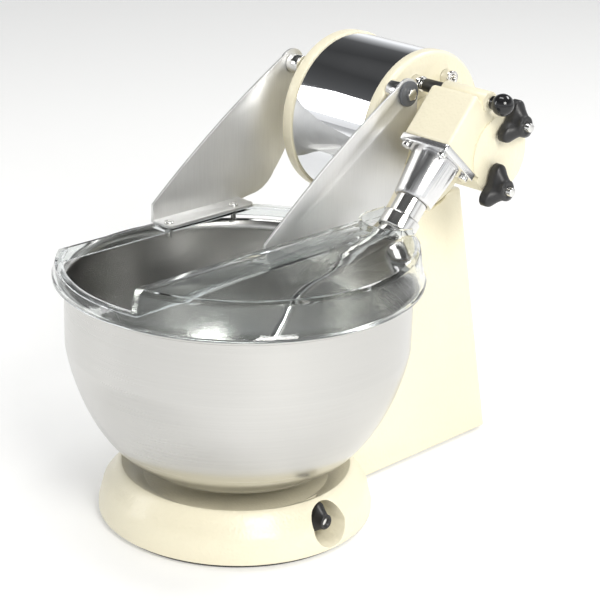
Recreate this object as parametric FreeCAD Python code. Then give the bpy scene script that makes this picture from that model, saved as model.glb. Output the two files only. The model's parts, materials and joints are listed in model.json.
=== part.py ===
import FreeCAD, Part
import math
import os

# Table-top dough kneader: a round base carries a free-turning bowl, a column behind it
# carries a motor drum, and a tilting gear head turns an inclined kneading arm.
# Frame in millimetres: origin on the bench under the bowl axis, X right, Y back, Z up.

# ---- driving dimensions -----------------------------------------------------------
FOOT = 4.0                       # height of the rubber under the castings
BASE_R_LOW = 121.0
BASE_R_TOP = 104.0
BASE_RIM_Z = 45.0
DISH_FLOOR_Z = 34.0
WALL = 5.0
SPINDLE_R = 12.0
RUN = 0.05                       # radial running clearance

BOWL_R = 149.0
BOWL_TOP = 217.0
BOWL_BOTTOM = 42.0
BOWL_STRAIGHT_Z = 160.0
BOWL_SHEET = 1.5
BEAD_R = 2.0

MOTOR_Y = 231.0
MOTOR_Z = 301.5
MOTOR_R = 76.7
DRUM_R = 75.0
RING_X = (-108.0, -96.0)
DRUM_X = (-96.0, -8.0)
FLANGE_X = (-8.0, 3.0)
MOTOR_SHAFT_R = 9.0

HEAD_ANGLE = 42.0                # output axis, degrees back from the vertical
HEAD_X = 62.5                    # output axis position across the machine
WORM_CENTRES = 40.4              # distance between the motor and output axes
HEAD_DROP = 103.0                # distance along the output axis to the mouth point
BOX_HALF = 26.0
BOX_Z = (72.0, 124.0)
HUB_R = 36.0
HUB_X = (3.4, 90.0)
SHAFT_R = 14.0
SPIGOT_R = 25.0

INDEX_R = 54.5                   # index bushes from the motor axis
INDEX_ANGLES = (110.3, 65.3)     # 45 degrees apart
STUD_ANGLES = (70.0, 250.0)
STUD_CIRCLE = 29.3

PIVOT_Y = 181.0
PIVOT_Z = 351.0
PLATE_T = 2.5
PLATE_LEFT_X = -124.3            # outer face of the left plate
PLATE_RIGHT_X = 21.3             # outer face of the right plate
PLATE_LOW_Z = 231.0

LID_Z = (219.5, 252.0)
LID_R_LOW = 159.0
LID_R_TOP = 151.0
LID_T = 3.0
LID_WALL_X = 35.0
LID_CHORD_X = -121.5
LEDGE_Z = (228.5, 231.0)
NOTCH_R = 27.0
NOTCH_Y = 123.0
ARM_GAP_X = (20.0, 91.0)          # gap in the rear skirt that the arm swings through
ARM_GAP_Y = 118.0
ELBOW_GAP_X = 30.0               # relief for the arm's elbow, further forward
ELBOW_GAP_Y = 72.0

COLUMN_TOP = 236.0
COLUMN_BACK = 297.0
COLUMN_WALL = 4.0
BRAKE_Z = 24.7
BRAKE_DRUM_Z = (18.0, 28.5)
RECESS_Z = 24.0
WHEEL_TEETH = 24

V = FreeCAD.Vector
X_AXIS = V(1, 0, 0)
Z_AXIS = V(0, 0, 1)


# ---- helpers ----------------------------------------------------------------------
def box(x, y, z):
    """Box between three (low, high) pairs."""
    return Part.makeBox(x[1] - x[0], y[1] - y[0], z[1] - z[0], V(x[0], y[0], z[0]))


def rod_x(radius, x, y=0.0, z=0.0):
    """Cylinder along X between x[0] and x[1]."""
    return Part.makeCylinder(radius, x[1] - x[0], V(x[0], y, z), X_AXIS)


def ring_x(inner, outer, x, y=0.0, z=0.0):
    return rod_x(outer, x, y, z).cut(rod_x(inner, x, y, z))


def rod_z(radius, z, x=0.0, y=0.0):
    return Part.makeCylinder(radius, z[1] - z[0], V(x, y, z[0]), Z_AXIS)


def ring_z(inner, outer, z, x=0.0, y=0.0):
    return rod_z(outer, z, x, y).cut(rod_z(inner, z, x, y))


def fuse(shapes):
    """One solid from touching shapes."""
    result = shapes[0].multiFuse(list(shapes[1:])) if len(shapes) > 1 else shapes[0]
    return result.removeSplitter()


def group(shapes):
    """Separate solids kept in one node."""
    return Part.makeCompound(shapes)


def turned(points):
    """Solid of revolution about Z from (radius, height) points."""
    wire = Part.makePolygon([V(r, 0, z) for r, z in points + points[:1]])
    return Part.Face(wire).revolve(V(0, 0, 0), Z_AXIS, 360)


def prism_x(edges, x):
    """Solid from a closed outline in the YZ plane, between x[0] and x[1]."""
    face = Part.Face(Part.Wire(edges))
    face.translate(V(x[0], 0, 0))
    return face.extrude(V(x[1] - x[0], 0, 0))


def outline(points):
    """Straight closed outline in the YZ plane."""
    return Part.makePolygon([V(0, y, z) for y, z in points + points[:1]]).Edges


def on_motor(angle, radius):
    """(Y, Z) of a point at an angle from +Y and a radius from the motor axis."""
    a = math.radians(angle)
    return MOTOR_Y + radius * math.cos(a), MOTOR_Z + radius * math.sin(a)


def to_head(shape):
    """Place a shape drawn in the head's frame: Z up the output axis, origin at its mouth."""
    a = math.radians(HEAD_ANGLE)
    y = MOTOR_Y - WORM_CENTRES * math.cos(a) - HEAD_DROP * math.sin(a)
    z = MOTOR_Z + WORM_CENTRES * math.sin(a) - HEAD_DROP * math.cos(a)
    placed = shape.copy()
    placed.Placement = FreeCAD.Placement(V(HEAD_X, y, z), FreeCAD.Rotation(X_AXIS, -HEAD_ANGLE))
    return placed


def hexagon_x(across, x, y, z):
    """Hexagon bar along X."""
    r = across / math.sqrt(3.0)
    corners = [(y + r * math.cos(math.radians(a)), z + r * math.sin(math.radians(a)))
               for a in range(0, 360, 60)]
    return prism_x(outline(corners), x)


def tri_knob(lobe, offset, core, x, y, z, bore):
    """Three-lobed hand knob along X, rounded on its rims."""
    body = [rod_x(core, x, y, z)]
    for i in range(3):
        a = math.radians(90 + 120 * i)
        body.append(rod_x(lobe, x, y + offset * math.cos(a), z + offset * math.sin(a)))
    knob = fuse(body)
    rims = [e for e in knob.Edges if abs(e.BoundBox.XLength) < 0.01]
    knob = knob.makeFillet(2.0, rims)
    return knob.cut(rod_x(bore, (x[0] - 1, x[1] + 1), y, z))


# ---- base and bowl drive ----------------------------------------------------------
def base_envelope(grow=0.0):
    """Outer shape of the round base, optionally grown for clearance cuts."""
    rim_in = 88.0
    points = [(0, FOOT - grow), (BASE_R_LOW + grow, FOOT - grow), (BASE_R_LOW + grow, 9)]
    points += [(BASE_R_LOW - 4 + grow, 25), (BASE_R_TOP + 3 + grow, 38), (BASE_R_TOP + grow, 43)]
    points += [(BASE_R_TOP - 3, BASE_RIM_Z + grow), (rim_in, 38 + grow)]
    points += [(rim_in - 6, DISH_FLOOR_Z + grow), (0, DISH_FLOOR_Z + grow)]
    return turned(points)


def brake_recess():
    """Scallop in the side of the base around the brake knob."""
    return rod_x(18.5, (88.0, 130.0), 0, RECESS_Z)


def base_casting():
    hub_top = DISH_FLOOR_Z + 3.5
    hollow = turned([(0, FOOT - 1), (BASE_R_LOW - WALL, FOOT - 1), (BASE_R_LOW - WALL - 1, 12),
                     (BASE_R_TOP - WALL + 3, 33), (BASE_R_TOP - 2 * WALL, 38),
                     (88, 33), (80, DISH_FLOOR_Z - WALL), (0, DISH_FLOOR_Z - WALL)])
    pocket_wall = rod_x(18.5 + WALL, (88.0 - WALL, 130.0), 0, RECESS_Z)
    shell = base_envelope().cut(hollow.cut(pocket_wall))
    shell = fuse([shell, rod_z(28.0, (DISH_FLOOR_Z - WALL, hub_top))])
    shell = shell.cut(brake_recess())
    shell = shell.cut(rod_x(4.0 + RUN, (80.0, 130.0), 0, BRAKE_Z))
    return shell.cut(rod_z(22.0, (DISH_FLOOR_Z - WALL - 1, hub_top + 1)))


def base_cover():
    return ring_z(6.0, 108.0, (FOOT, FOOT + 2)).cut(rod_x(24.0, (80.0, 130.0), 0, RECESS_Z))


def anti_slip_pad():
    return rod_z(116.0, (0, FOOT))


def spindle_bearing():
    top = DISH_FLOOR_Z + 3.5
    return ring_z(SPINDLE_R + RUN, 22.0, (top - 8, top))


def bowl_spindle():
    flange = rod_z(36.0, (BOWL_BOTTOM - 4, BOWL_BOTTOM))
    return fuse([flange, rod_z(SPINDLE_R, (10, BOWL_BOTTOM - 4))])


def brake_drum():
    return ring_z(SPINDLE_R, 45.0, BRAKE_DRUM_Z)


def bowl_curve(inset):
    """Points of the bowl's belly, from the straight wall to the flat bottom."""
    radius = BOWL_R - inset
    depth = BOWL_STRAIGHT_Z - BOWL_BOTTOM - inset
    angles = [math.radians(a) for a in (0, 18, 34, 48, 60, 70, 78, 84)]
    return [V(radius * math.cos(a) ** 0.506, 0, BOWL_STRAIGHT_Z - depth * math.sin(a) ** 1.55)
            for a in angles]


def bowl_skin(inset):
    """Solid filling the bowl up to its rim."""
    points = bowl_curve(inset)
    belly = Part.BSplineCurve()
    belly.interpolate(points)
    low = V(0, 0, points[-1].z)
    top = V(BOWL_R - inset, 0, BOWL_TOP + (1 if inset else 0))
    edges = [Part.makeLine(top, points[0]), belly.toShape(), Part.makeLine(points[-1], low),
             Part.makeLine(low, V(0, 0, top.z)), Part.makeLine(V(0, 0, top.z), top)]
    return Part.Face(Part.Wire(edges)).revolve(V(0, 0, 0), Z_AXIS, 360)


def bowl_shell():
    bead = Part.makeTorus(BOWL_R + BEAD_R - 0.5, BEAD_R, V(0, 0, BOWL_TOP - 0.5))
    inside = bowl_skin(BOWL_SHEET)
    seat = rod_z(36.0, (BOWL_BOTTOM - 1, BOWL_BOTTOM))
    return fuse([bowl_skin(0.0), bead]).cut(inside).cut(seat)


def bowl_screws():
    heads = []
    floor = bowl_curve(BOWL_SHEET)[-1].z
    for i in range(3):
        a = math.radians(120 * i)
        heads.append(rod_z(5.0, (floor, floor + 2), 24 * math.cos(a), 24 * math.sin(a)))
    return group(heads)


def brake_shoe():
    block = box((46.6, 58.0), (-11, 11), (BRAKE_DRUM_Z[0] + 2, BRAKE_DRUM_Z[1]))
    block = block.cut(rod_z(46.6, (0, 40)))
    return block.cut(rod_x(4.0 + RUN, (52.0, 60.0), 0, BRAKE_Z))


def brake_screw():
    return rod_x(4.0, (54.0, 110.0), 0, BRAKE_Z)


def brake_knob():
    return tri_knob(6.5, 9.5, 9.0, (95.0, 112.0), 0, BRAKE_Z, 4.0)


# ---- column -----------------------------------------------------------------------
def column_prism(inset):
    """Column shape, leaning in at both sides, inset evenly for its hollow."""
    i = inset
    knee, belly, neck = V(0, 122 + i, 34 - i), V(0, 151 + i, 108), V(0, 172 + i, 178 - i)
    front_low = [(COLUMN_BACK - i, FOOT - i), (40 + i, FOOT - i), (40 + i, 28 - i), (knee.y, knee.z)]
    back_high = [(neck.y, neck.z), (190 + i, 190 - i), (190 + i, COLUMN_TOP - i),
                 (290 - i, COLUMN_TOP - i), (COLUMN_BACK - i, FOOT - i)]
    edges = [Part.makeLine(V(0, *p), V(0, *q)) for p, q in zip(front_low, front_low[1:])]
    edges.append(Part.Arc(knee, belly, neck).toShape())
    edges += [Part.makeLine(V(0, *p), V(0, *q)) for p, q in zip(back_high, back_high[1:])]
    front = [(-125 + i, FOOT - i), (45 - i, FOOT - i), (3 - i, COLUMN_TOP - i), (-108 + i, COLUMN_TOP - i)]
    face = Part.Face(Part.makePolygon([V(x, 30, z) for x, z in front + front[:1]]))
    return prism_x(edges, (-130, 50)).common(face.extrude(V(0, 275, 0)))


def is_rounded_edge(edge):
    """True for the long edges where a leaning side meets the front, top or back."""
    span = edge.BoundBox
    crosswise = span.XLength > 0.9 * edge.Length
    return span.ZMax > 150 and not crosswise


def column_housing():
    outer = column_prism(0.0)
    outer = outer.makeFillet(8.0, [e for e in outer.Edges if is_rounded_edge(e)])
    shell = outer.cut(column_prism(COLUMN_WALL))
    shell = shell.cut(base_envelope(0.3))
    shell = shell.cut(rod_z(BASE_R_TOP, (30, 60)))
    shell = shell.cut(rod_x(MOTOR_R, (-130, 50), MOTOR_Y, MOTOR_Z))
    shell = shell.cut(on_left_side(group([rod_z(7.5, (-20, 5), x) for x in (-15, 15)]), 135))
    shell = shell.cut(Part.makeCylinder(6.0, 20, V(-40, COLUMN_BACK - 14, 40), V(0, 1, 0)))
    return max(shell.Solids, key=lambda solid: solid.Volume)


def column_cover():
    plate = column_prism(COLUMN_WALL).common(box((-130, 50), (128, 300), (FOOT, FOOT + 2)))
    return plate


def column_feet():
    spots = [(-108, 138), (28, 138), (-108, 278), (28, 278)]
    return group([rod_z(9.0, (0, FOOT), x, y) for x, y in spots])


def motor_mount():
    saddle = box((-92, -14), (198, 264), (200, 228)).cut(rod_x(DRUM_R, (-100, 0), MOTOR_Y, MOTOR_Z))
    legs = box((-92, -14), (206, 256), (192, 200))
    return fuse([saddle, legs]).cut(rod_x(22.0, (-100, 0), MOTOR_Y, 205))


def capacitor():
    return rod_z(18.0, (20, 95), -40, 250)


def cable_gland():
    centre = V(-40, COLUMN_BACK - 4, 40)
    back = V(0, 1, 0)
    collar = Part.makeCylinder(9.0, 4, centre + V(0, 4, 0), back)
    body = Part.makeCylinder(6.0, 12, centre + V(0, -6, 0), back)
    nose = Part.makeCone(8.0, 6.0, 10, centre + V(0, 8, 0), back)
    hole = Part.makeCylinder(3.5, 40, centre + V(0, -10, 0), back)
    return fuse([collar, body, nose]).cut(hole)


def lean():
    """Angle of the column's left side from the vertical, in degrees."""
    return math.degrees(math.atan2(17.0, COLUMN_TOP - FOOT))


def on_left_side(shape, z):
    """Place a shape drawn with +Z out of the column's left side at height z."""
    x = -125 + 17.0 * (z - FOOT) / (COLUMN_TOP - FOOT)
    placed = shape.copy()
    turn = FreeCAD.Rotation(V(0, 1, 0), -90 + lean())
    placed.Placement = FreeCAD.Placement(V(x, 215, z), turn)
    return placed


def switch_plate():
    plate = box((-40, 40), (-18, 18), (0, 2.5))
    plate = plate.makeFillet(5.0, [e for e in plate.Edges if e.BoundBox.ZLength > 2])
    holes = [rod_z(7.5, (-1, 4), offset) for offset in (-15, 15)]
    collars = [ring_z(7.5, 11.0, (2.5, 5.5), offset) for offset in (-15, 15)]
    return on_left_side(fuse([plate.cut(holes[0]).cut(holes[1])] + collars), 135)


def push_button(offset, proud):
    stem = rod_z(7.0, (-4, proud), offset)
    stem = stem.makeFillet(1.2, [e for e in stem.Edges if abs(e.BoundBox.ZMax - proud) < 0.01
                                 and e.BoundBox.ZLength < 0.01])
    return on_left_side(stem, 135)


# ---- motor ------------------------------------------------------------------------
def motor_end_ring():
    cap = rod_x(MOTOR_R, RING_X, MOTOR_Y, MOTOR_Z)
    outer_rim = [e for e in cap.Edges if abs(e.BoundBox.XMax - RING_X[0]) < 0.01]
    cap = cap.makeFillet(3.0, outer_rim)
    cap = cap.cut(rod_x(DRUM_R - 3, (RING_X[0] + 4, RING_X[1] + 1), MOTOR_Y, MOTOR_Z))
    return cap


def drum_cover():
    return ring_x(DRUM_R - 2, DRUM_R, DRUM_X, MOTOR_Y, MOTOR_Z)


def motor_flange():
    disc = rod_x(MOTOR_R, FLANGE_X, MOTOR_Y, MOTOR_Z)
    rim = [e for e in disc.Edges if abs(e.BoundBox.XMin - FLANGE_X[1]) < 0.01]
    disc = disc.makeFillet(4.0, rim)
    inner = rod_x(DRUM_R - 2, (FLANGE_X[0] - 6, FLANGE_X[0]), MOTOR_Y, MOTOR_Z)
    disc = fuse([disc, inner])
    disc = disc.cut(rod_x(SPIGOT_R + RUN, (FLANGE_X[0] + 1, 10), MOTOR_Y, MOTOR_Z))
    disc = disc.cut(rod_x(16.0, (-20, 10), MOTOR_Y, MOTOR_Z))
    for angle in INDEX_ANGLES:
        y, z = on_motor(angle, INDEX_R)
        disc = disc.cut(rod_x(7.0, (-5, 10), y, z))
    return disc


def index_bushes():
    bushes = []
    for angle in INDEX_ANGLES:
        y, z = on_motor(angle, INDEX_R)
        barrel = rod_x(7.0, (-5, 12.5), y, z)
        bushes.append(barrel.cut(rod_x(4.1, (2, 13), y, z)))
    return group(bushes)


def flange_screws():
    heads = []
    for angle in (20, 162, 215, 320):
        y, z = on_motor(angle, 65.0)
        head = rod_x(4.0, (FLANGE_X[1], FLANGE_X[1] + 2.5), y, z)
        heads.append(head.cut(hexagon_x(3.0, (FLANGE_X[1] + 1, FLANGE_X[1] + 3), y, z)))
    return group(heads)


def rear_bearing_plate():
    return ring_x(16.0, DRUM_R - 2, (-96, -91), MOTOR_Y, MOTOR_Z)


def motor_bearings():
    places = [(-96, -90), (-14, -8)]
    return group([ring_x(MOTOR_SHAFT_R + RUN, 16.0, x, MOTOR_Y, MOTOR_Z) for x in places])


def stator():
    core = ring_x(45.0, DRUM_R - 2, (-84, -20), MOTOR_Y, MOTOR_Z)
    return core


def stator_windings():
    coils = [(-89, -84), (-20, -15)]
    return group([ring_x(47.0, 66.0, x, MOTOR_Y, MOTOR_Z) for x in coils])


def rotor_core():
    return ring_x(MOTOR_SHAFT_R, 44.0, (-82, -22), MOTOR_Y, MOTOR_Z)


def motor_shaft():
    return rod_x(MOTOR_SHAFT_R, (-103, 86.5), MOTOR_Y, MOTOR_Z)


def cooling_fan():
    blades = [ring_x(MOTOR_SHAFT_R, 20.0, (-103, -98), MOTOR_Y, MOTOR_Z)]
    for i in range(8):
        blade = box((-103, -98), (19, 62), (-1, 1))
        blade.rotate(V(0, 0, 0), X_AXIS, 45 * i)
        blade.translate(V(0, MOTOR_Y, MOTOR_Z))
        blades.append(blade)
    return fuse(blades)


def worm():
    """Worm with its thread drawn as rings, tips just clear of the wheel."""
    core = rod_x(15.2, (HEAD_X - 14, HEAD_X + 14), MOTOR_Y, MOTOR_Z)
    pitch = 5.76
    threads = []
    for i in range(-2, 3):
        x = HEAD_X + i * pitch
        threads.append(rod_x(18.0, (x - 1.3, x + 1.3), MOTOR_Y, MOTOR_Z))
    bar = fuse([core] + threads)
    return bar.cut(rod_x(MOTOR_SHAFT_R, (0, 100), MOTOR_Y, MOTOR_Z))


# ---- gear head, drawn in the head's frame -----------------------------------------
def in_head_x(x):
    """X span in the head's frame from a span in the machine's frame."""
    return x[0] - HEAD_X, x[1] - HEAD_X


def head_plunger():
    """(y, z) of the index plunger in the head's frame."""
    y, z = on_motor(INDEX_ANGLES[0], INDEX_R)
    a = math.radians(HEAD_ANGLE)
    dy, dz = y - MOTOR_Y, z - MOTOR_Z
    return (WORM_CENTRES + dy * math.cos(a) - dz * math.sin(a),
            HEAD_DROP + dy * math.sin(a) + dz * math.cos(a))


def gear_head_hub():
    """Round hub about the motor's axis, with the spigot that turns in the motor flange."""
    hub = rod_x(HUB_R, in_head_x(HUB_X), WORM_CENTRES, HEAD_DROP)
    hub = hub.cut(box((-30, 30), (-30, 30), (50, BOX_Z[0])))
    spigot = rod_x(SPIGOT_R, in_head_x((FLANGE_X[0] + 1.5, HUB_X[0])), WORM_CENTRES, HEAD_DROP)
    hub = fuse([hub, spigot])
    hub = hub.cut(rod_z(23.5, (BOX_Z[0] + 6, BOX_Z[1] - 5)))
    hub = hub.cut(rod_z(16.0, (BOX_Z[0] - 1, BOX_Z[0] + 7)))
    hub = hub.cut(rod_x(22.0, in_head_x((12, 81)), WORM_CENTRES, HEAD_DROP))
    hub = hub.cut(rod_x(16.0, in_head_x((80, 87)), WORM_CENTRES, HEAD_DROP))
    hub = to_head(hub.cut(rod_x(9.6, in_head_x((-10, 20)), WORM_CENTRES, HEAD_DROP)))
    for angle in STUD_ANGLES:
        y, z = on_motor(angle, STUD_CIRCLE)
        hub = hub.cut(rod_x(4.0, (8, 100), y, z))
    return hub


def gear_head_housing():
    """Square gear case around the output axis, with the index plunger's boss on top."""
    b = BOX_HALF
    case = box((-b, b), (-b, b), BOX_Z)
    case = case.makeFillet(4.0, [e for e in case.Edges if e.BoundBox.YMax < -b + 1
                                 or e.BoundBox.ZMin > BOX_Z[1] - 1])
    py, pz = head_plunger()
    case = fuse([case, rod_x(9.0, in_head_x((40, 90)), py, pz)])
    case = case.cut(rod_z(23.5, (BOX_Z[0] + 6, BOX_Z[1] - 5)))
    case = case.cut(rod_z(16.0, (BOX_Z[0] - 1, BOX_Z[0] + 7)))
    case = case.cut(rod_x(HUB_R, in_head_x(HUB_X), WORM_CENTRES, HEAD_DROP))
    case = case.cut(rod_x(6.0, in_head_x((0, 44)), py, pz))
    case = case.cut(rod_x(4.0 + RUN, in_head_x((0, 100)), py, pz))
    return to_head(max(case.Solids, key=lambda solid: solid.Volume))


def nose_plate():
    half = 27.0
    plate = box((-half, half), (-half, half), (BOX_Z[0] - 6.5, BOX_Z[0]))
    plate = plate.makeFillet(3.0, [e for e in plate.Edges if e.BoundBox.ZLength > 5])
    return to_head(plate.cut(rod_z(SHAFT_R, (60, 80))))


def nose_plate_bolts():
    bolts = []
    for x in (-20.5, 20.5):
        for y in (-20.5, 20.5):
            bolts.append(rod_z(4.2, (BOX_Z[0] - 10.5, BOX_Z[0] - 6.5), x, y))
    return group([to_head(b) for b in bolts])


def nose_cone():
    top = BOX_Z[0] - 6.5
    cone = Part.makeCone(17.75, 22.5, top - 23.0, V(0, 0, 23.0), Z_AXIS)
    cone = cone.cut(rod_z(SHAFT_R, (20, 80)))
    for x in (-20.5, 20.5):
        for y in (-20.5, 20.5):
            cone = cone.cut(rod_z(4.2, (top - 4, top), x, y))
    return to_head(cone)


def output_bushes():
    spans = [(26, 40), (52, 66)]
    return group([to_head(ring_z(10.0 + RUN, SHAFT_R, z)) for z in spans])


def worm_bearing():
    return ring_x(MOTOR_SHAFT_R + RUN, 16.0, (81, 87), MOTOR_Y, MOTOR_Z)


def wheel_bearing():
    return to_head(ring_z(10.0 + RUN, 16.0, (BOX_Z[0], BOX_Z[0] + 6)))


def clamp_studs():
    studs = []
    for angle in STUD_ANGLES:
        y, z = on_motor(angle, STUD_CIRCLE)
        studs.append(rod_x(4.0, (8, 115), y, z))
    return group(studs)


def clamp_knob(angle):
    y, z = on_motor(angle, STUD_CIRCLE)
    return tri_knob(9.5, 13.0, 13.0, (92.4, 109.4), y, z, 4.0 + RUN)


def plunger_sleeve():
    y, z = on_motor(INDEX_ANGLES[0], INDEX_R)
    return ring_x(4.0 + RUN, 6.0, (15.5, 44), y, z)


def plunger_pin():
    y, z = on_motor(INDEX_ANGLES[0], INDEX_R)
    return rod_x(4.0, (12.8, 101), y, z)


def ball_knob():
    y, z = on_motor(INDEX_ANGLES[0], INDEX_R)
    ball = Part.makeSphere(10.0, V(104, y, z))
    neck = rod_x(6.0, (93, 97), y, z)
    return fuse([ball, neck]).cut(rod_x(4.0, (90, 101), y, z))


# ---- kneading arm, drawn in the head's frame --------------------------------------
def output_shaft():
    return to_head(fuse([rod_z(SHAFT_R, (-5, 22.5)), rod_z(10.0, (22.5, 118))]))


def worm_wheel():
    tip, root = 22.2, 19.2
    points = []
    for i in range(WHEEL_TEETH):
        start = 360.0 / WHEEL_TEETH * i
        for turn, radius in ((0, root), (4, tip), (8, tip), (12, root)):
            a = math.radians(start + turn)
            points.append(V(radius * math.cos(a), radius * math.sin(a), 93))
    gear = Part.Face(Part.makePolygon(points + points[:1])).extrude(V(0, 0, 20))
    return to_head(gear.cut(rod_z(10.0, (90, 120))))


ARM_TURN = 190.0                 # direction of the arm's offset about the output axis


def arm_point(down, out):
    """Point below the shaft's mouth and out from the output axis, in the head's frame."""
    a = math.radians(ARM_TURN)
    return V(out * math.cos(a), out * math.sin(a), -down)


def arm_casting():
    start = arm_point(7, 0)
    end = arm_point(50, 24)
    run = end - start
    collar = rod_z(17.0, (-9, 6))
    collar = collar.makeFillet(2.0, [e for e in collar.Edges if e.BoundBox.ZLength < 0.01])
    limb = Part.makeCone(12.0, 8.0, run.Length, start, run)
    heel = Part.makeSphere(12.0, start)
    boss_axis = arm_point(60, 27) - arm_point(43, 22)
    boss = Part.makeCylinder(8.3, 17, arm_point(43, 22), boss_axis)
    boss = boss.makeFillet(1.5, [e for e in boss.Edges if e.Length > 50])
    body = fuse([collar, limb, heel, Part.makeSphere(8.0, end), boss])
    body = body.cut(rod_z(SHAFT_R, (-5, 30)))
    return to_head(body)


def kneading_rod():
    stations = [(55, 25.5), (72, 37.5), (95, 50), (130, 53), (180, 49), (222, 34), (249, 13)]
    points = [arm_point(down, out) for down, out in stations]
    path = Part.BSplineCurve()
    path.interpolate(points)
    tangent = path.tangent(path.FirstParameter)[0]
    circle = Part.Wire(Part.makeCircle(5.0, points[0], tangent))
    rod = Part.Wire(path.toShape()).makePipeShell([circle], True, False)
    rod = fuse([rod, Part.makeSphere(5.0, points[-1])])
    return to_head(rod).cut(arm_casting())


# ---- lid --------------------------------------------------------------------------
def lid_solid(inset):
    """Lid's outer shape, or its hollow when inset by the wall."""
    low = LID_Z[0] - (1 if inset else 0)
    return turned([(0, low), (LID_R_LOW - inset, low), (LID_R_LOW - inset, 222),
                   (LID_R_LOW - 1.5 - inset, 224), (LID_R_TOP + 2 - inset, 249 - inset),
                   (LID_R_TOP - 1 - inset, LID_Z[1] - inset), (0, LID_Z[1] - inset)])


def lid_shell():
    outer = lid_solid(0.0)
    skin = outer.cut(lid_solid(LID_T))
    reach = (-LID_R_LOW, LID_R_LOW)
    high = skin.common(box((LID_WALL_X, 200), (-200, 200), (200, 300)))
    low = skin.common(box((LID_CHORD_X, LID_WALL_X), (-200, 200), (200, LEDGE_Z[1])))
    inner_lip = ring_z(149.0, 165.0, LEDGE_Z).common(outer)
    inner_lip = inner_lip.common(box((LID_CHORD_X, LID_WALL_X), (-200, 200), (200, 300)))
    wall = outer.common(box((LID_WALL_X, LID_WALL_X + LID_T), reach, (LEDGE_Z[0], LID_Z[1])))
    chord = outer.common(box((LID_CHORD_X, LID_CHORD_X + LID_T), reach, (LID_Z[0], LEDGE_Z[1])))
    ledge = outer.common(box((LID_CHORD_X, -98), (5, 115), LEDGE_Z))
    tab = box((-2, LID_WALL_X + 1), (5, 115), LEDGE_Z)
    strip_face = Part.Face(Part.makePolygon([V(36, -140, LEDGE_Z[0]), V(36, 6, LEDGE_Z[0]),
                                             V(20, 6, LEDGE_Z[0]), V(36, -140, LEDGE_Z[0])]))
    strip = strip_face.extrude(V(0, 0, LEDGE_Z[1] - LEDGE_Z[0])).common(outer)
    lid = fuse([high, low, inner_lip, wall, chord, ledge, tab, strip])
    rim = notch(NOTCH_R + LID_T, (LID_Z[1] - LID_T, LID_Z[1] + 5)).common(rod_z(LID_R_TOP - 3, (200, 300)))
    lid = fuse([lid, rim]).cut(notch(NOTCH_R, (LEDGE_Z[1], 300)))
    lid = lid.cut(box(ARM_GAP_X, (ARM_GAP_Y, 200), (200, LID_Z[1] - 6)))
    lid = lid.cut(box((ELBOW_GAP_X, ARM_GAP_X[1]), (ELBOW_GAP_Y, 200), (200, LID_Z[1] - 12)))
    for x, y in lid_screw_spots():
        lid = lid.cut(rod_z(2.5, (200, 240), x, y))
    return lid


def notch(radius, z):
    """U-shaped prism, round in front and open to the rear."""
    return fuse([rod_z(radius, z, HEAD_X, NOTCH_Y),
                 box((HEAD_X - radius, HEAD_X + radius), (NOTCH_Y, 200), z)])


def lid_screw_spots():
    return [(-106, 14), (-106, 93), (10, 14), (10, 93)]


def lid_screws():
    screws = []
    top = PLATE_LOW_Z + PLATE_T
    for x, y in lid_screw_spots():
        head = rod_z(4.5, (top, top + 2.5), x, y)
        head = head.makeFillet(1.2, [e for e in head.Edges if e.BoundBox.ZMin > top + 2.4])
        head = fuse([head, rod_z(2.5, (LEDGE_Z[0] - 8, top), x, y)])
        screws.append(head.cut(rod_z(1.6, (top + 1, top + 4), x, y)))
    return group(screws)


def side_plate(x_low, flange_x):
    """Side plate between x_low and x_low + PLATE_T, with its turned-in foot."""
    a, b, c, d = V(0, 9, PLATE_LOW_Z + 17), V(0, 78, 301), V(0, 170, 359), V(0, 186, 363.5)
    e, f, g = V(0, 195, 347), V(0, 189, 302), V(0, 160, 250)
    h, i = V(0, 149, 238.5), V(0, 132, PLATE_LOW_Z + 2)
    low_back, low_front = V(0, 118, PLATE_LOW_Z), V(0, 9, PLATE_LOW_Z)
    edges = [Part.Arc(a, b, c).toShape(), Part.Arc(c, d, e).toShape(), Part.Arc(e, f, g).toShape(),
             Part.Arc(g, h, i).toShape(), Part.makeLine(i, low_back),
             Part.makeLine(low_back, low_front), Part.makeLine(low_front, a)]
    plate = prism_x(edges, (x_low, x_low + PLATE_T))
    plate = plate.cut(rod_x(6.0 + RUN, (x_low - 1, x_low + 5), PIVOT_Y, PIVOT_Z))
    foot = box(flange_x, (9, 114), (PLATE_LOW_Z, PLATE_LOW_Z + PLATE_T))
    for x, y in lid_screw_spots():
        foot = foot.cut(rod_z(2.5, (200, 260), x, y))
    corners = [e for e in foot.Edges if e.BoundBox.ZLength > 2 and e.Length < 3
               and (e.BoundBox.XMin > -100 if x_low < -50 else e.BoundBox.XMax < 1)]
    foot = foot.makeFillet(6.0, corners)
    return fuse([plate, foot])


def side_plate_left():
    return side_plate(PLATE_LEFT_X, (PLATE_LEFT_X, -99))


def side_plate_right():
    return side_plate(PLATE_RIGHT_X - PLATE_T, (0, PLATE_RIGHT_X))


def pivot_parts(make):
    """One piece for each end of the lid's pivot: make(start, direction)."""
    return group([make(RING_X[0], -1), make(FLANGE_X[1], 1)])


def pivot_rod(radius, start, direction, near, far):
    """Rod along X from start, between two distances in the given direction."""
    low, high = sorted((start + direction * near, start + direction * far))
    return rod_x(radius, (low, high), PIVOT_Y, PIVOT_Z)


def pivot_gap(direction):
    """Distance from the motor's end face to the plate's inner face."""
    return (PLATE_RIGHT_X - PLATE_T - FLANGE_X[1]) if direction > 0 else (RING_X[0] - PLATE_LEFT_X - PLATE_T)


def pivot_spacers():
    def make(start, direction):
        gap = pivot_gap(direction)
        body = pivot_rod(9.0, start, direction, 0, gap - 0.3)
        step = pivot_rod(6.0, start, direction, gap - 0.3, gap + PLATE_T + 0.3)
        return fuse([body, step]).cut(pivot_rod(3.0, start, direction, 5, 40))
    return pivot_parts(make)


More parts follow.
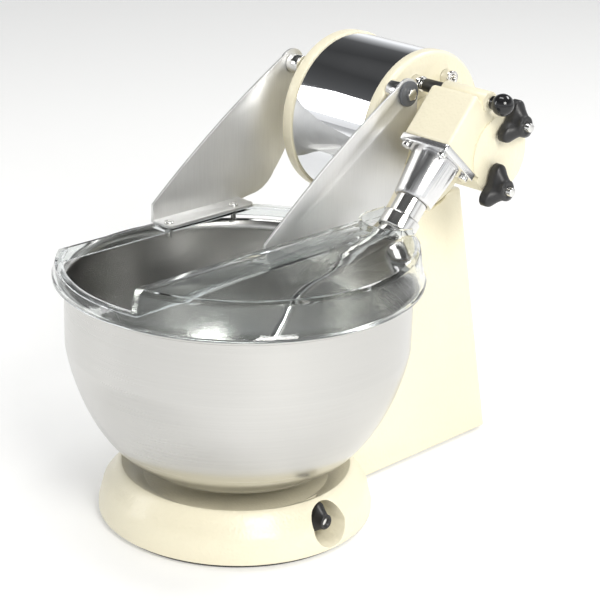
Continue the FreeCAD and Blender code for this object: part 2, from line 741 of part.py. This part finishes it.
def pivot_washers():
    def make(start, direction):
        far = pivot_gap(direction) + PLATE_T + 0.3
        washer = pivot_rod(11.5, start, direction, far, far + 2.5)
        return washer.cut(pivot_rod(3.0, start, direction, 5, 40))
    return pivot_parts(make)


def pivot_screws():
    def make(start, direction):
        far = pivot_gap(direction) + PLATE_T + 2.8
        low, high = sorted((start + direction * far, start + direction * (far + 4)))
        head = hexagon_x(10.0, (low, high), PIVOT_Y, PIVOT_Z)
        return fuse([head, pivot_rod(3.0, start, direction, 5, far)])
    return pivot_parts(make)


# ---- every node -------------------------------------------------------------------
NODES = {
    "base_casting": base_casting, "base_cover": base_cover, "anti_slip_pad": anti_slip_pad,
    "spindle_bearing": spindle_bearing, "bowl_spindle": bowl_spindle, "brake_drum": brake_drum,
    "bowl_shell": bowl_shell, "bowl_screws": bowl_screws, "brake_shoe": brake_shoe,
    "brake_screw": brake_screw, "brake_knob": brake_knob,
    "column_housing": column_housing, "column_cover": column_cover, "column_feet": column_feet,
    "motor_mount": motor_mount, "capacitor": capacitor, "cable_gland": cable_gland,
    "switch_plate": switch_plate,
    "start_button": lambda: push_button(15, 6.5), "stop_button": lambda: push_button(-15, 8.5),
    "motor_end_ring": motor_end_ring, "drum_cover": drum_cover, "motor_flange": motor_flange,
    "index_bushes": index_bushes, "flange_screws": flange_screws,
    "rear_bearing_plate": rear_bearing_plate, "motor_bearings": motor_bearings,
    "stator": stator, "stator_windings": stator_windings, "rotor_core": rotor_core,
    "motor_shaft": motor_shaft, "cooling_fan": cooling_fan, "worm": worm,
    "gear_head_housing": gear_head_housing, "gear_head_hub": gear_head_hub, "nose_plate": nose_plate,
    "nose_plate_bolts": nose_plate_bolts, "nose_cone": nose_cone,
    "output_bushes": output_bushes, "worm_bearing": worm_bearing, "wheel_bearing": wheel_bearing,
    "clamp_studs": clamp_studs,
    "clamp_knob_upper": lambda: clamp_knob(STUD_ANGLES[0]),
    "clamp_knob_lower": lambda: clamp_knob(STUD_ANGLES[1]),
    "plunger_sleeve": plunger_sleeve, "plunger_pin": plunger_pin, "ball_knob": ball_knob,
    "output_shaft": output_shaft, "worm_wheel": worm_wheel, "arm_casting": arm_casting,
    "kneading_rod": kneading_rod,
    "lid_shell": lid_shell, "lid_screws": lid_screws, "side_plate_left": side_plate_left,
    "side_plate_right": side_plate_right, "pivot_spacers": pivot_spacers,
    "pivot_washers": pivot_washers, "pivot_screws": pivot_screws,
}

os.makedirs("parts", exist_ok=True)
for name, make in NODES.items():
    shape = make()
    print(name, len(shape.Solids), round(shape.Volume / 1000.0, 2), "cm3", shape.isValid())
    shape.exportStep("parts/" + name + ".step")
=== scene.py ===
import bmesh
import bpy
import json
import math
from mathutils import Matrix, Vector


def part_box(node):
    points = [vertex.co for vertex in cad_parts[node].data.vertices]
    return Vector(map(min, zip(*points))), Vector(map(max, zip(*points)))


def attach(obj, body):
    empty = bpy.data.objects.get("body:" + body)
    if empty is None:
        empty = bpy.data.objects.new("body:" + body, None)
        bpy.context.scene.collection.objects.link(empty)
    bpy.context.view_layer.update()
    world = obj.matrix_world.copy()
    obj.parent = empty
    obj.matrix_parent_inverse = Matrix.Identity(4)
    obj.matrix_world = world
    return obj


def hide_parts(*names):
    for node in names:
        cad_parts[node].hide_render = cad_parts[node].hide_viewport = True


# A table-top dough kneader: the CAD frame is dressed, its bowl and drum are turned smooth,
# its castings get broken edges and its hand knobs get moulded wings.
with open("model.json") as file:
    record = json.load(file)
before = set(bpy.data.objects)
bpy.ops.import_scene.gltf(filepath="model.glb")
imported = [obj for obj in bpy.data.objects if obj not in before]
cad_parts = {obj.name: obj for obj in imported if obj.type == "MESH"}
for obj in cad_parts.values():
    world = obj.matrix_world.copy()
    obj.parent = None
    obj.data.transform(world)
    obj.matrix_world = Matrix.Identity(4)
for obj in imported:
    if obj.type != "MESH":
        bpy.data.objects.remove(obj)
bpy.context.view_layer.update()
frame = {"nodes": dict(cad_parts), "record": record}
scene = bpy.context.scene
record = frame["record"]
slot_of = {part["node"]: part["material_slot"] for part in record["subparts"]}
body_of = {member: body
           for body, members in record["behaviour"]["bodies"].items() for member in members}


def middle(node):
    """Centre of a CAD node's box."""
    low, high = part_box(node)
    return tuple((low[i] + high[i]) / 2 for i in range(3))


# ---- material helpers ---------------------------------------------------------------
def new_material(name, color, roughness, metallic=0.0):
    """A Principled material and the pieces that the other helpers link to it."""
    mat = bpy.data.materials.new(name)
    mat.use_nodes = True
    shader = mat.node_tree.nodes["Principled BSDF"]
    shader.inputs["Base Color"].default_value = (*color, 1.0)
    shader.inputs["Roughness"].default_value = roughness
    shader.inputs["Metallic"].default_value = metallic
    return mat, mat.node_tree, shader


def coords(tree, stretch=(1.0, 1.0, 1.0), turned=None):
    """Object coordinates, stretched. On a turned surface: X from its centre, Z along its axis."""
    source = tree.nodes.new("ShaderNodeTexCoord").outputs["Object"]
    if turned is not None:
        offset = tree.nodes.new("ShaderNodeVectorMath")
        offset.operation = "SUBTRACT"
        offset.inputs[1].default_value = turned["centre"]
        tree.links.new(source, offset.inputs[0])
        along = tree.nodes.new("ShaderNodeVectorMath")
        along.operation = "DOT_PRODUCT"
        along.inputs[1].default_value = turned["axis"]
        tree.links.new(offset.outputs[0], along.inputs[0])
        length = tree.nodes.new("ShaderNodeVectorMath")
        length.operation = "LENGTH"
        tree.links.new(offset.outputs[0], length.inputs[0])
        join = tree.nodes.new("ShaderNodeCombineXYZ")
        tree.links.new(length.outputs["Value"], join.inputs["X"])
        tree.links.new(along.outputs["Value"], join.inputs["Z"])
        source = join.outputs[0]
    mapping = tree.nodes.new("ShaderNodeMapping")
    mapping.inputs["Scale"].default_value = stretch
    tree.links.new(source, mapping.inputs["Vector"])
    return mapping.outputs[0]


def noise(tree, vector, scale, detail):
    node = tree.nodes.new("ShaderNodeTexNoise")
    node.inputs["Scale"].default_value = scale
    node.inputs["Detail"].default_value = detail
    tree.links.new(vector, node.inputs["Vector"])
    return node.outputs["Fac"]


def spread(tree, value, low, high):
    """Map a 0.3 to 0.7 texture value to the range low to high."""
    node = tree.nodes.new("ShaderNodeMapRange")
    node.inputs["From Min"].default_value = 0.3
    node.inputs["From Max"].default_value = 0.7
    node.inputs["To Min"].default_value = low
    node.inputs["To Max"].default_value = high
    tree.links.new(value, node.inputs["Value"])
    return node.outputs["Result"]


def tint(tree, value, dark, light):
    """Colour between dark and light, chosen by a texture value."""
    ramp = tree.nodes.new("ShaderNodeValToRGB")
    ramp.color_ramp.elements[0].position = 0.3
    ramp.color_ramp.elements[0].color = (*dark, 1.0)
    ramp.color_ramp.elements[1].position = 0.7
    ramp.color_ramp.elements[1].color = (*light, 1.0)
    tree.links.new(value, ramp.inputs["Fac"])
    return ramp.outputs["Color"]


def bump(tree, shader, height, distance, strength, before=None):
    """Bump the shader's normal, on top of an earlier bump if there is one."""
    node = tree.nodes.new("ShaderNodeBump")
    node.inputs["Distance"].default_value = distance
    node.inputs["Strength"].default_value = strength
    tree.links.new(height, node.inputs["Height"])
    if before is not None:
        tree.links.new(before, node.inputs["Normal"])
    tree.links.new(node.outputs["Normal"], shader.inputs["Normal"])
    return node.outputs["Normal"]


def shade(color, factor):
    """Colour made darker or lighter by a factor."""
    return tuple(min(1.0, c * factor) for c in color)


# ---- materials ----------------------------------------------------------------------
ENAMEL_CELLS = 420.0             # hammered cells per metre
ENAMEL_PEEL = 700.0              # finer orange peel per metre


def enamel(name, color):
    """Baked enamel with a fine hammered surface."""
    mat, tree, shader = new_material(name, color, 0.38)
    place = coords(tree)
    cells = tree.nodes.new("ShaderNodeTexVoronoi")
    cells.feature = "SMOOTH_F1"
    cells.inputs["Scale"].default_value = ENAMEL_CELLS
    tree.links.new(place, cells.inputs["Vector"])
    peel = noise(tree, place, ENAMEL_PEEL, 2.0)
    soft = bump(tree, shader, peel, 0.00025, 0.35)
    bump(tree, shader, cells.outputs["Distance"], 0.0005, 0.55, soft)
    cloud = noise(tree, place, 9.0, 3.0)
    tree.links.new(tint(tree, cloud, shade(color, 0.955), shade(color, 1.02)),
                   shader.inputs["Base Color"])
    tree.links.new(spread(tree, peel, 0.32, 0.46), shader.inputs["Roughness"])
    shader.inputs["Coat Weight"].default_value = 0.25
    shader.inputs["Coat Roughness"].default_value = 0.18
    return mat


GRAIN_SHARE = 0.6                # share of the grain in a metal's roughness; haze is the rest


def metal(name, color, rough, stretch, depth=0.00003, turned=None, aniso=0.0):
    """Metal with grain along one direction, or rings around an axis when turned."""
    mat, tree, shader = new_material(name, color, rough, 1.0)
    grain = noise(tree, coords(tree, stretch, turned), 1.0, 6.0)
    haze = noise(tree, coords(tree), 9.0, 1.0)
    mix = tree.nodes.new("ShaderNodeMath")
    mix.operation = "MULTIPLY_ADD"
    mix.inputs[1].default_value = GRAIN_SHARE
    tree.links.new(grain, mix.inputs[0])
    rest = tree.nodes.new("ShaderNodeMath")
    rest.operation = "MULTIPLY"
    rest.inputs[1].default_value = 1.0 - GRAIN_SHARE
    tree.links.new(haze, rest.inputs[0])
    tree.links.new(rest.outputs[0], mix.inputs[2])
    tree.links.new(spread(tree, mix.outputs[0], rough * 0.85, rough * 1.15),
                   shader.inputs["Roughness"])
    tree.links.new(tint(tree, grain, shade(color, 0.96), shade(color, 1.03)),
                   shader.inputs["Base Color"])
    if depth > 0.0:
        bump(tree, shader, grain, depth, 0.6)
    shader.inputs["Anisotropic"].default_value = aniso
    return mat


def plastic(name, color, rough, grain_scale=900.0, depth=0.00012):
    """Moulded plastic or rubber with a fine grain."""
    mat, tree, shader = new_material(name, color, rough)
    place = coords(tree)
    grain = noise(tree, place, grain_scale, 2.0)
    cloud = noise(tree, place, 30.0, 3.0)
    bump(tree, shader, grain, depth, 0.5)
    tree.links.new(tint(tree, cloud, shade(color, 0.85), shade(color, 1.15)),
                   shader.inputs["Base Color"])
    tree.links.new(spread(tree, grain, rough * 0.85, rough * 1.15), shader.inputs["Roughness"])
    return mat


def clear_sheet(name, color):
    """Clear moulded polycarbonate with faint wipe marks."""
    mat, tree, shader = new_material(name, color, 0.05)
    shader.inputs["Transmission Weight"].default_value = 1.0
    shader.inputs["IOR"].default_value = 1.16
    shader.inputs["Coat Weight"].default_value = 0.8
    shader.inputs["Coat Roughness"].default_value = 0.03
    marks = noise(tree, coords(tree, (30.0, 8.0, 30.0)), 3.0, 5.0)
    tree.links.new(spread(tree, marks, 0.015, 0.05), shader.inputs["Roughness"])
    return mat


SPUN = {"centre": (0.0, 0.0, 0.0), "axis": (0.0, 0.0, 1.0)}
MOTOR_CENTRE = middle("drum_cover")
HEAD_ANGLE = math.radians(42.0)  # lean of the output shaft from the vertical
SHAFT_AXIS = {"centre": middle("output_shaft"),
              "axis": (0.0, math.sin(HEAD_ANGLE), math.cos(HEAD_ANGLE))}
CREAM = (0.82, 0.765, 0.585)
STEEL = (0.57, 0.565, 0.55)

looks = {
    "cream_enamel": enamel("cream_enamel", CREAM),
    "brushed_stainless": metal("brushed_stainless", STEEL, 0.26, (12.0, 12.0, 700.0)),
    "polished_chrome": metal("polished_chrome", (0.80, 0.81, 0.83), 0.035, (30.0, 30.0, 30.0),
                             depth=0.0),
    "polished_steel": metal("polished_steel", (0.78, 0.775, 0.76), 0.14, (90.0, 90.0, 90.0),
                            depth=0.00001),
    "machined_aluminium": metal("machined_aluminium", (0.77, 0.77, 0.775), 0.24,
                                (5.0, 5.0, 1200.0), turned=SHAFT_AXIS),
    "inner_steel": metal("inner_steel", (0.45, 0.46, 0.48), 0.35, (200.0, 200.0, 200.0)),
    "bronze": metal("bronze", (0.62, 0.42, 0.22), 0.3, (200.0, 200.0, 200.0)),
    "clear_lid": clear_sheet("clear_lid", (0.84, 0.865, 0.86)),
    "black_grip": plastic("black_grip", (0.018, 0.018, 0.019), 0.42),
    "dark_washer": plastic("dark_washer", (0.09, 0.095, 0.105), 0.35),
    "gloss_black": plastic("gloss_black", (0.012, 0.012, 0.013), 0.08, 60.0, 0.00001),
    "rubber": plastic("rubber", (0.03, 0.03, 0.03), 0.75, 500.0, 0.0003),
    "green_button": plastic("green_button", (0.03, 0.30, 0.09), 0.3),
    "red_button": plastic("red_button", (0.55, 0.03, 0.025), 0.3),
}
bowl_steel = metal("bowl_steel", STEEL, 0.25, (3.0, 3.0, 1500.0), depth=0.000012, turned=SPUN,
                   aniso=0.3)
plate_steel = metal("plate_steel", (0.74, 0.74, 0.73), 0.50, (900.0, 1100.0, 40.0),
                    depth=0.00001)
special = {"side_plate_left": plate_steel, "side_plate_right": plate_steel,
           "bowl_shell": bowl_steel}


def look_of(node):
    """Material of a node: its own, or the one of its slot."""
    return special.get(node, looks[slot_of[node]])


def dress(obj, mat):
    obj.data.materials.clear()
    obj.data.materials.append(mat)


for node, obj in frame["nodes"].items():
    dress(obj, look_of(node))


# ---- mesh helpers -------------------------------------------------------------------
def skin(name, mesh, node):
    """Put a mesh in the scene in a CAD node's place, with the node's look and body."""
    for face in mesh.polygons:
        face.use_smooth = True
    piece = bpy.data.objects.new(name, mesh)
    scene.collection.objects.link(piece)
    dress(piece, look_of(node))
    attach(piece, body_of[node])
    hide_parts(node)
    return piece


def mesh_from(bm, name):
    """Mesh with outward normals from a bmesh, which is freed."""
    bmesh.ops.recalc_face_normals(bm, faces=bm.faces)
    mesh = bpy.data.meshes.new(name)
    bm.to_mesh(mesh)
    bm.free()
    return mesh


def lathe(name, profile, steps=192):
    """Mesh from (radius, height) points turned about Z. Points that meet again close it."""
    bm = bmesh.new()
    rings = []
    for radius, height in profile:
        if radius < 1e-6:
            rings.append([bm.verts.new((0.0, 0.0, height))])
            continue
        ring = []
        for i in range(steps):
            a = 2.0 * math.pi * i / steps
            ring.append(bm.verts.new((radius * math.cos(a), radius * math.sin(a), height)))
        rings.append(ring)
    for low, high in zip(rings, rings[1:]):
        for i in range(steps):
            j = (i + 1) % steps
            corners = [low[i % len(low)], low[j % len(low)], high[j % len(high)], high[i % len(high)]]
            bm.faces.new(list(dict.fromkeys(corners)))
    bmesh.ops.remove_doubles(bm, verts=bm.verts, dist=1e-7)
    return mesh_from(bm, name)


# ---- bowl and drum ------------------------------------------------------------------
BOWL_SHEET = 0.0015              # thickness of the spun sheet
BOWL_BEAD = 0.002                # radius of the rolled bead
BEAD_LAP = 0.0005                # how far the bead's roll laps the wall
BELLY_HEIGHT = 0.118             # the curved belly's height; the wall above it is straight
BELLY_FULLNESS = 0.506           # below 1 the belly stays wide for longer
BELLY_SWEEP = 1.55               # above 1 the belly leaves the wall more softly
BELLY_STEPS = 64
WALL_STEPS = 6


def bowl():
    """Spun steel bowl with a rolled bead, drawn to the CAD bowl's own size."""
    low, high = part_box("bowl_shell")
    radius = high[0] - 2.0 * BOWL_BEAD + BEAD_LAP
    bottom, top = low[2], high[2]
    straight = bottom + BELLY_HEIGHT

    def belly(inset):
        points = []
        for i in range(BELLY_STEPS + 1):
            a = math.radians(90.0) * i / BELLY_STEPS
            r = (radius - inset) * max(0.0, math.cos(a)) ** BELLY_FULLNESS
            z = straight - (straight - bottom - inset) * math.sin(a) ** BELLY_SWEEP
            points.append((r if i < BELLY_STEPS else 0.0, z))
        return points

    def wall(r, end):
        """Points up the straight wall, from the first above the belly to its end."""
        return [(r, straight + (end - straight) * i / WALL_STEPS) for i in range(1, WALL_STEPS + 1)]

    rim_z = top - BOWL_BEAD
    roll_r = radius + BOWL_BEAD - BEAD_LAP
    roll = []
    for i in range(17):
        a = math.radians(-120.0 + 270.0 * i / 16)
        roll.append((roll_r + BOWL_BEAD * math.cos(a), rim_z + BOWL_BEAD * math.sin(a)))
    outside = belly(0.0)[::-1] + wall(radius, rim_z - 2.0 * BOWL_SHEET)
    inside = wall(radius - BOWL_SHEET, rim_z + BEAD_LAP)[::-1] + belly(BOWL_SHEET)
    skin("bowl_skin", lathe("bowl_skin", outside + roll + inside), "bowl_shell")


DRUM_SHEET = 0.002               # wall of the motor's sleeve
DRUM_EDGE = 0.0003               # its broken edge


def drum():
    """Round motor sleeve with a broken edge at each end."""
    low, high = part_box("drum_cover")
    outer = (high[2] - low[2]) / 2.0
    inner, half = outer - DRUM_SHEET, (high[0] - low[0]) / 2.0
    profile = [(inner, -half), (outer - DRUM_EDGE, -half), (outer, -half + DRUM_EDGE),
               (outer, half - DRUM_EDGE), (outer - DRUM_EDGE, half), (inner, half),
               (inner, -half)]
    mesh = lathe("drum_skin", profile, 256)
    mesh.transform(Matrix.Translation(MOTOR_CENTRE) @ Matrix.Rotation(math.radians(90.0), 4, "Y"))
    piece = skin("drum_skin", mesh, "drum_cover")
    piece.data.set_sharp_from_angle(angle=math.radians(30.0))


bowl()
drum()


# ---- softened castings ----------------------------------------------------------------
SHARP_ANGLE = math.radians(28.0)  # edges that turn by more than this are broken


def softened(node, width):
    """Copy of a CAD node with its sharp edges broken, shown in the node's place."""
    bm = bmesh.new()
    bm.from_mesh(frame["nodes"][node].data)
    bmesh.ops.remove_doubles(bm, verts=bm.verts, dist=2e-6)
    bmesh.ops.dissolve_limit(bm, angle_limit=math.radians(0.5), verts=bm.verts, edges=bm.edges)
    piece = skin(node + "_skin", mesh_from(bm, node + "_skin"), node)
    bevel = piece.modifiers.new("edges", "BEVEL")
    bevel.width = width
    bevel.segments = 2
    bevel.limit_method = "ANGLE"
    bevel.angle_limit = SHARP_ANGLE
    bevel.harden_normals = True


EDGES = {  # width of the broken edge, in metres
    "base_casting": 0.0012, "column_housing": 0.0010, "motor_flange": 0.0006,
    "motor_end_ring": 0.0006, "gear_head_housing": 0.0010, "gear_head_hub": 0.0008,
    "nose_plate": 0.0006, "nose_cone": 0.0005, "side_plate_left": 0.0005,
    "side_plate_right": 0.0005, "lid_shell": 0.0006, "arm_casting": 0.0008,
    "pivot_washers": 0.0004, "pivot_spacers": 0.0004, "pivot_screws": 0.0004,
    "lid_screws": 0.0003, "index_bushes": 0.0005, "plunger_sleeve": 0.0005,
    "base_cover": 0.0003, "clamp_studs": 0.0006, "nose_plate_bolts": 0.0004,
    "switch_plate": 0.0005, "cable_gland": 0.0005, "column_feet": 0.0006,
}
for edge_node, edge_width in EDGES.items():
    softened(edge_node, edge_width)


# ---- hand knobs -----------------------------------------------------------------------
KNOB_BORE = 0.0041
KNOB_STEPS = 120
KNOB_LEVELS = [  # share of the depth, weight of the wings against the boss, scale
    (0.00, 1.0, 0.90), (0.03, 1.0, 0.96), (0.09, 1.0, 1.0), (0.42, 1.0, 1.0),
    (0.50, 1.0, 0.975), (0.55, 0.96, 0.93), (0.66, 0.72, 0.90), (0.80, 0.40, 0.90),
    (0.90, 0.12, 0.95), (0.96, 0.0, 1.0), (1.0, 0.0, 0.93),
]


def wing_knob(node, stud, tip):
    """Three-winged knob on its stud's (Y, Z), concave between wings, with a boss in front."""
    low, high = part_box(node)
    depth = high[0] - low[0]
    valley, boss = 0.50 * tip, 0.42 * tip
    bm = bmesh.new()
    rings = []

    def ring(x, radius_at):
        verts = []
        for i in range(KNOB_STEPS):
            a = 2.0 * math.pi * i / KNOB_STEPS
            r = radius_at(a)
            verts.append(bm.verts.new((x, stud[0] + r * math.cos(a), stud[1] + r * math.sin(a))))
        rings.append(verts)

    def winged(a):
        """Radius of the wings at an angle; one wing points straight up."""
        wave = 0.5 + 0.5 * math.cos(3.0 * (a - math.radians(90.0)))
        return valley + (tip - valley) * wave ** 1.35

    ring(low[0], lambda a: KNOB_BORE)
    for along, weight, scale in KNOB_LEVELS:
        ring(low[0] + along * depth,
             lambda a, w=weight, k=scale: k * (w * winged(a) + (1.0 - w) * boss))
    ring(high[0], lambda a: KNOB_BORE)
    for first, second in zip(rings, rings[1:] + rings[:1]):
        for i in range(KNOB_STEPS):
            j = (i + 1) % KNOB_STEPS
            bm.faces.new((first[i], first[j], second[j], second[i]))
    skin(node + "_grip", mesh_from(bm, node + "_grip"), node)


STUD_RADIUS = 0.0293             # of the clamp studs from the motor's axis
CLAMP_TIP, BRAKE_TIP = 0.0222, 0.0157   # reach of the wings


def clamp_stud(degrees):
    """(Y, Z) of a clamp stud at an angle about the motor's axis."""
    a = math.radians(degrees)
    return MOTOR_CENTRE[1] + STUD_RADIUS * math.cos(a), MOTOR_CENTRE[2] + STUD_RADIUS * math.sin(a)


wing_knob("clamp_knob_upper", clamp_stud(70.0), CLAMP_TIP)
wing_knob("clamp_knob_lower", clamp_stud(250.0), CLAMP_TIP)
wing_knob("brake_knob", (0.0, middle("brake_screw")[2]), BRAKE_TIP)


# ---- floor, light and camera ----------------------------------------------------------
FLOOR = (0.80, 0.80, 0.79)
FLOOR_REACH = 6.0
FLOOR_DROP = 0.0004              # keeps the floor clear of the rubber feet
SKY = [(0.0, 0.80), (0.16, 1.0), (0.32, 0.50), (0.50, 0.10), (0.72, 0.05), (1.0, 0.20)]


def floor():
    """Pale plain floor with a little glow of its own, so that it stays bright far away."""
    mat, tree, shader = new_material("floor", FLOOR, 0.6)
    grain = noise(tree, coords(tree), 40.0, 3.0)
    tree.links.new(tint(tree, grain, (0.79, 0.79, 0.78), (0.81, 0.81, 0.80)),
                   shader.inputs["Base Color"])
    shader.inputs["Emission Color"].default_value = (1.0, 1.0, 1.0, 1.0)
    shader.inputs["Emission Strength"].default_value = 0.20
    mesh = bpy.data.meshes.new("floor")
    corners = [(-1, -1), (1, -1), (1, 1), (-1, 1)]
    mesh.from_pydata([(x * FLOOR_REACH, y * FLOOR_REACH, 0) for x, y in corners],
                     [], [(0, 1, 2, 3)])
    plane = bpy.data.objects.new("floor", mesh)
    plane.location.z = -FLOOR_DROP
    scene.collection.objects.link(plane)
    dress(plane, mat)


def sky():
    """Grey surroundings by height: bright near the floor, dark above for the chrome."""
    world = bpy.data.worlds.new("studio")
    world.use_nodes = True
    background = world.node_tree.nodes["Background"]
    tree = world.node_tree
    height = tree.nodes.new("ShaderNodeSeparateXYZ")
    tree.links.new(tree.nodes.new("ShaderNodeTexCoord").outputs["Generated"], height.inputs[0])
    ramp = tree.nodes.new("ShaderNodeValToRGB")
    for end, (place, grey) in zip(ramp.color_ramp.elements, (SKY[0], SKY[-1])):
        end.position = place
        end.color = (grey, grey, grey, 1.0)
    for place, grey in SKY[1:-1]:
        ramp.color_ramp.elements.new(place).color = (0.97 * grey, 0.985 * grey, grey, 1.0)
    tree.links.new(height.outputs["Z"], ramp.inputs["Fac"])
    tree.links.new(ramp.outputs["Color"], background.inputs["Color"])
    background.inputs["Strength"].default_value = 0.85
    scene.world = world


WHITE, WARM = (1.0, 1.0, 1.0), (1.0, 0.985, 0.95)
LIT_POINT = (0.0, 0.05, 0.2)     # where every soft box points
SOFT_BOXES = [  # name, place, width and height, power, colour
    ("key", (2.0, -0.7, 1.7), (1.0, 1.0), 34.0, WARM),
    ("fill", (-1.5, -1.4, 1.0), (0.5, 1.0), 6.0, WHITE),
    ("back", (0.5, 1.8, 2.3), (1.2, 0.6), 22.0, WHITE),
    ("top", (-0.3, 0.0, 2.3), (0.5, 1.2), 10.0, WHITE),
]


def soft_box(name, place, size, power, color):
    light = bpy.data.lights.new(name, "AREA")
    light.shape = "RECTANGLE"
    light.size, light.size_y = size
    light.energy = power
    light.color = color
    obj = bpy.data.objects.new(name, light)
    obj.location = place
    aim = Vector(LIT_POINT) - Vector(place)
    obj.rotation_euler = aim.to_track_quat("-Z", "Y").to_euler()
    scene.collection.objects.link(obj)


CAMERA_PLACE = (1.0960, -1.0612, 0.7807)
CAMERA_RIGHT = (0.7113, 0.7022, 0.0301)
CAMERA_BACK = (0.6483, -0.6721, 0.3577)
SENSOR, LENS = 36.0, 114.46      # millimetres


def camera():
    """Camera at the bowl's right front, looking a little down."""
    right = Vector(CAMERA_RIGHT).normalized()
    back = Vector(CAMERA_BACK).normalized()
    up = back.cross(right).normalized()
    turn = Matrix((right, up, back)).transposed().to_4x4()
    data = bpy.data.cameras.new("camera")
    data.sensor_width = SENSOR
    data.lens = LENS
    obj = bpy.data.objects.new("camera", data)
    obj.matrix_world = Matrix.Translation(CAMERA_PLACE) @ turn
    scene.collection.objects.link(obj)
    scene.camera = obj


floor()
sky()
for box in SOFT_BOXES:
    soft_box(*box)
camera()
scene.view_settings.view_transform = "Standard"
scene.view_settings.exposure = 0.5
